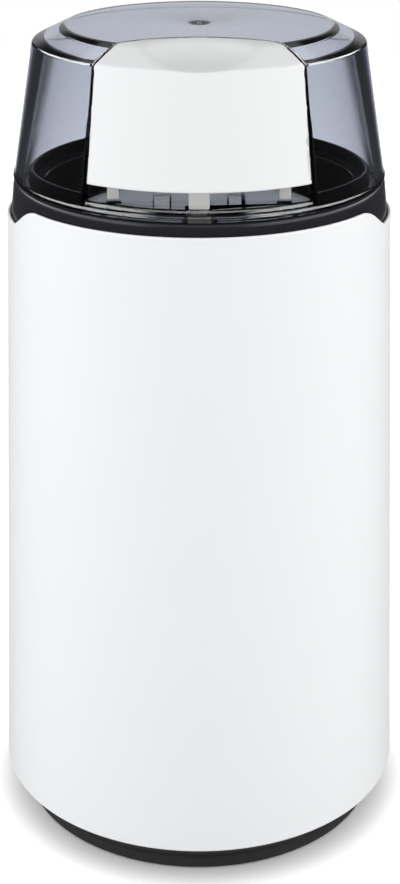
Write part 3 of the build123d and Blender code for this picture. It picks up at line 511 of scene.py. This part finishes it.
# Lid: one moulding of clear smoked plastic, polished all over. A round-backed pocket open to the
# front takes the button, its floor has guide holes, and a small gate mark sits in the top.

smoked = bpy.data.materials.new("smoked plastic")
smoked.use_nodes = True
smoked_nodes, smoked_links = smoked.node_tree.nodes, smoked.node_tree.links
clear = smoked_nodes["Principled BSDF"]
clear.inputs["Base Color"].default_value = (1, 1, 1, 1)
clear.inputs["IOR"].default_value = 1.5
clear.inputs["Transmission Weight"].default_value = 1.0
polish = smoked_nodes.new("ShaderNodeGroup")
polish.node_tree = grain
for socket, value in (("Roughness", 0.014), ("Spread", 0.012), ("Scale", 700.0)):
    polish.inputs[socket].default_value = value
smoked_links.new(polish.outputs["Roughness"], clear.inputs["Roughness"])
smoke = smoked_nodes.new("ShaderNodeVolumeAbsorption")
smoke.inputs["Color"].default_value = (0.20, 0.29, 0.50, 1)
smoke.inputs["Density"].default_value = 136.0
smoked_links.new(smoke.outputs["Volume"], smoked_nodes["Material Output"].inputs["Volume"])

lid_low, shoulder_z, lid_top = 0.1461, 0.1753, 0.1787
lid_foot_r, lid_lip_r, shoulder_r, lid_top_r = 0.0400, 0.0401, 0.0355, 0.02865
lid_slope = (lid_foot_r - shoulder_r) / (shoulder_z - lid_low)
lid_profile = [(0, lid_low), (lid_lip_r, lid_low), (lid_lip_r, 0.1469), (0.0398, 0.1472),
               (shoulder_r, shoulder_z), (lid_top_r, lid_top), (0, lid_top)]
lid_soft = {1: (0.0003, 4), 2: (0.0003, 4), 4: (0.0004, 4), 5: (0.0004, 4)}
lid = lathe(lid_profile, lid_soft, steps=256)
under_z, ceiling_z, above_z = 0.1400, 0.1765, 0.1900
hollow_profile = [(0, under_z), (0.0390, under_z), (0.0379, lid_low), (0.0326, 0.1748), (0.0287, ceiling_z),
                  (0, ceiling_z)]
hollow = lathe(hollow_profile, {3: (0.0005, 5), 4: (0.0004, 5)}, steps=256)
pocket_r, pocket_wall_r, pocket_floor = 0.0246, 0.0258, 0.1485
hollow = carved(hollow, [post(pocket_wall_r, 0.1469, above_z, 0, pocket_y, steps=192)])
lid = carved(lid, [hollow])
lid = carved(lid, [post(pocket_r, pocket_floor, above_z, 0, pocket_y, steps=192)])
hole_top = 0.1550
leg_places = [(-0.0170, -0.0334), (0.0170, -0.0334)]
hook_turns = [Matrix.Translation((0, pocket_y, 0)) @ Matrix.Rotation(math.radians(angle), 4, "Z")
              for angle in (72, 108)]
holes = [block(0.0052, 0.0028, under_z, hole_top, 0, rod_y)]
holes += [block(0.0030, 0.0020, under_z, hole_top, x, y) for x, y in leg_places]
holes += [moved(block(0.0065, 0.0036, 0.1515, 0.1571, 0.02565), turn) for turn in hook_turns]
gate_inner_r, gate_r, gate_top = 0.0007, 0.0028, 0.1790
gate_profile = [(gate_inner_r, 0.1781), (gate_inner_r, gate_top), (gate_r, gate_top), (gate_r, lid_top)]
gate = lathe(gate_profile, {}, steps=64, closed=True)
lid = carved(lid, holes + [gate])


def on_sill(vert):
    """Whether a point lies on the front edge of the pocket's floor."""
    return abs(vert.co.z - pocket_floor) < 2e-5 and math.hypot(vert.co.x, vert.co.y) > 0.0394


sill = [edge for edge in lid.edges if all(on_sill(vert) for vert in edge.verts)]
bmesh.ops.bevel(lid, geom=sill, offset=0.0009, segments=5, profile=0.5, affect="EDGES", material=-1)
dressed("smoked_lid", lid, smoked, "lid", "smoked_plastic", "lid_shell", edge=0.0002)


# Button: a white hollow cap in the lid's pocket, pressed down with the fingertips in its dimple.
# A stem reaches the push rod, two legs and two snap hooks guide and hold it in the lid.

white_plastic = coating("white plastic", (0.847, 0.853, 0.855), 0.42, tone=0.012, spread=0.06, scale=2600.0,
                        relief=0.05, specular=0.1)
button_low, button_r, button_wall = 0.1518, 0.0242, 0.0018
dimple_centre, dimple_r, dimple_soft = Vector((0, -0.0320, 0.1990)), 0.0240, 0.0008
cap_profile = [(0, button_low), (lid_foot_r - lid_slope * (button_low - lid_low), button_low),
               (shoulder_r, shoulder_z), (lid_top_r, lid_top), (0, lid_top)]
cap = lathe(cap_profile, {2: (0.0006, 6), 3: (0.0012, 8)}, steps=320, run=0.0008)
for vert in cap.verts:
    away = vert.co - dimple_centre
    near = max(0.0, dimple_soft - abs(away.length - dimple_r)) / dimple_soft
    pushed = max(away.length, dimple_r) + near * near * dimple_soft / 4
    vert.co = dimple_centre + away * (pushed / away.length)
cap = carved(cap, [post(button_r, 0.1500, 0.1800, 0, pocket_y, steps=192)], "INTERSECT")
inside_low, inside_top, inside_r = 0.1450, 0.1769, 0.0224
inside_foot_r = 0.0382 - lid_slope * (inside_low - lid_low)
inside_profile = [(0, inside_low), (inside_foot_r, inside_low), (0.0337, 0.1744), (0.02685, inside_top),
                  (0, inside_top)]
inside = lathe(inside_profile, {})
inside = carved(inside, [post(inside_r, under_z, 0.1800, 0, pocket_y, steps=160)], "INTERSECT")
ball = bmesh.new()
bmesh.ops.create_uvsphere(ball, u_segments=96, v_segments=64, radius=dimple_r + button_wall)
inside = carved(inside, [moved(ball, Matrix.Translation(dimple_centre))])

# The rear wall ends above the front wall, so that light reaches the floor of the pocket
rear_gap = block(0.0600, 0.0140, 0.1500, 0.1545, 0, -0.0210)
cap = carved(cap, [inside, rear_gap])
button = dressed("button", cap, white_plastic, "button", "white_plastic", "button_cap",
                 edge=0.0004, angle=45.0)
button.modifiers["rounded edges"].offset_type = "ABSOLUTE"

stem_depth = 0.0022
fittings = [block(0.0041, stem_depth, 0.1484, 0.1530, 0, rod_y, soft=0.0003),
            block(0.0032, stem_depth, 0.1468, 0.1490, 0, rod_y, soft=0.0003)]
fittings += [block(0.0024, 0.0014, 0.1493, 0.1540, x, y, soft=0.0002) for x, y in leg_places]
fittings += [moved(block(0.0032, 0.0030, 0.1548, 0.1568, 0.0240, soft=0.0003), turn) for turn in hook_turns]
# The stem, legs and hooks are the button's white plastic; their mid grey colour is painted shade, for the
# shadow they stand in under the cap.
stem_painted_shade = coating("stem, painted shade", (0.50, 0.50, 0.49), 0.4, tone=0.04, scale=2600.0, relief=0.05)
dressed("button_stem", joined(fittings), stem_painted_shade, "button", "white_plastic")


# Studio: a pale floor that shows white to the camera and keeps its shadow, and a white card behind with
# dark sides. Reflections alone show a soft box above the front and a strip at each side. Two side lamps
# light the grinder, and a lamp above lights the floor alone.

floor_mesh = bmesh.new()
bmesh.ops.create_circle(floor_mesh, cap_ends=True, segments=96, radius=0.9)
floor = placed("floor", floor_mesh)
floor_paint = bpy.data.materials.new("pale floor")
floor_paint.use_nodes = True
floor_nodes, floor_links = floor_paint.node_tree.nodes, floor_paint.node_tree.links
floor_shader = floor_nodes["Principled BSDF"]
floor_shader.inputs["Roughness"].default_value = 0.9
floor_shader.inputs["Specular IOR Level"].default_value = 0.0
pale = floor_nodes.new("ShaderNodeMix")
pale.data_type = "RGBA"
pale.inputs["A"].default_value = (0.57, 0.57, 0.57, 1)
pale.inputs["B"].default_value = (1.25, 1.25, 1.25, 1)
floor_links.new(floor_nodes.new("ShaderNodeLightPath").outputs["Is Camera Ray"], pale.inputs["Factor"])
floor_links.new(pale.outputs["Result"], floor_shader.inputs["Base Color"])
floor.data.materials.append(floor_paint)
floor.visible_transmission = False
floor.visible_glossy = False

world = bpy.data.worlds.new("surround")
world.use_nodes = True
bpy.context.scene.world = world
sky_nodes, sky_links = world.node_tree.nodes, world.node_tree.links
sky = sky_nodes["Background"]
sky.inputs["Color"].default_value = (1, 1, 1, 1)
way, along = sky_nodes.new("ShaderNodeTexCoord"), sky_nodes.new("ShaderNodeSeparateXYZ")
sky_links.new(way.outputs["Generated"], along.inputs[0])
across, deep, upward = along.outputs["X"], along.outputs["Y"], along.outputs["Z"]


def fade(value, start, end, low, high):
    """A value that goes smoothly from low to high as another goes from start to end."""
    node = sky_nodes.new("ShaderNodeMapRange")
    node.interpolation_type = "SMOOTHSTEP"
    for socket, number in (("From Min", start), ("From Max", end), ("To Min", low), ("To Max", high)):
        node.inputs[socket].default_value = number
    sky_links.new(value, node.inputs["Value"])
    return node.outputs["Result"]


def worked(operation, *values):
    """The result of one maths operation on values."""
    node = sky_nodes.new("ShaderNodeMath")
    node.operation = operation
    for socket, value in zip(node.inputs, values):
        sky_links.new(value, socket)
    return node.outputs[0]


def blended(first, second, share):
    """Two levels mixed by a share."""
    node = sky_nodes.new("ShaderNodeMix")
    sky_links.new(share, node.inputs["Factor"])
    for socket, level in (("A", first), ("B", second)):
        if isinstance(level, float):
            node.inputs[socket].default_value = level
        else:
            sky_links.new(level, node.inputs[socket])
    return node.outputs["Result"]


room_dim = 0.22
room = blended(fade(deep, -0.5, 0.5, 0.84, room_dim), room_dim, fade(upward, 0.35, 0.80, 0.0, 1.0))
aside = worked("ABSOLUTE", across)
card = worked("MINIMUM", fade(aside, 0.24, 0.36, 1.0, 0.05), fade(deep, 0.1, 0.5, 0.2, 1.0))
soft_box = worked("MINIMUM", fade(upward, 0.62, 0.86, 0.0, 1.0), fade(deep, -0.1, 0.3, 1.0, 0.12))
strips = worked("MINIMUM", fade(aside, 0.40, 0.55, 0.0, 1.0), fade(upward, 0.24, 0.40, 0.0, 1.0))
shine = blended(fade(card, 0.0, 1.0, 0.05, 0.45), 5.0, soft_box)
shine = blended(shine, 9.0, strips)
path = sky_nodes.new("ShaderNodeLightPath").outputs
level = blended(room, shine, path["Is Glossy Ray"])
level = blended(level, card, path["Is Transmission Ray"])
level = blended(level, 1.0, path["Is Camera Ray"])
sky_links.new(level, sky.inputs["Strength"])


def lamp(name, towards, strength, spread, colour=(1, 1, 1)):
    """Wide soft lamp that shines evenly from a direction."""
    data = bpy.data.lights.new(name, "SUN")
    data.energy = strength
    data.angle = math.radians(spread)
    data.color = colour
    obj = bpy.data.objects.new(name, data)
    bpy.context.scene.collection.objects.link(obj)
    obj.rotation_euler = Vector(towards).to_track_quat("Z", "Y").to_euler()
    obj.visible_glossy = False
    obj.visible_transmission = False
    return obj


side_lamps = [lamp("left lamp", (-0.92, -0.29, 0.26), 1.85, 50, (0.97, 0.985, 1.0)),
              lamp("right lamp", (0.92, -0.29, 0.26), 1.78, 50)]
top_lamp = lamp("floor lamp", (0, 0.1, 1), 2.6, 130)
floor_only, floor_spared = bpy.data.collections.new("floor only"), bpy.data.collections.new("floor spared")
for group in (floor_only, floor_spared):
    group.objects.link(floor)
floor_spared.collection_objects[0].light_linking.link_state = "EXCLUDE"
top_lamp.light_linking.receiver_collection = floor_only
for side in side_lamps:
    side.light_linking.receiver_collection = floor_spared


# Camera: a little above the lid and close, as the photograph was taken, its frame shifted down
# so that the upright edges stay nearly parallel.

camera = bpy.data.cameras.new("camera")
camera.lens = 73.15
camera.sensor_width = 36.0
camera.shift_x = 0.0009
camera.shift_y = -0.275
camera.clip_start = 0.01
eye = bpy.data.objects.new("camera", camera)
bpy.context.scene.collection.objects.link(eye)
eye.location = (0, -0.37689, 0.24500)
eye.rotation_euler = (math.radians(74.417), 0, 0)
bpy.context.scene.camera = eye
bpy.context.scene.view_settings.view_transform = "Standard"
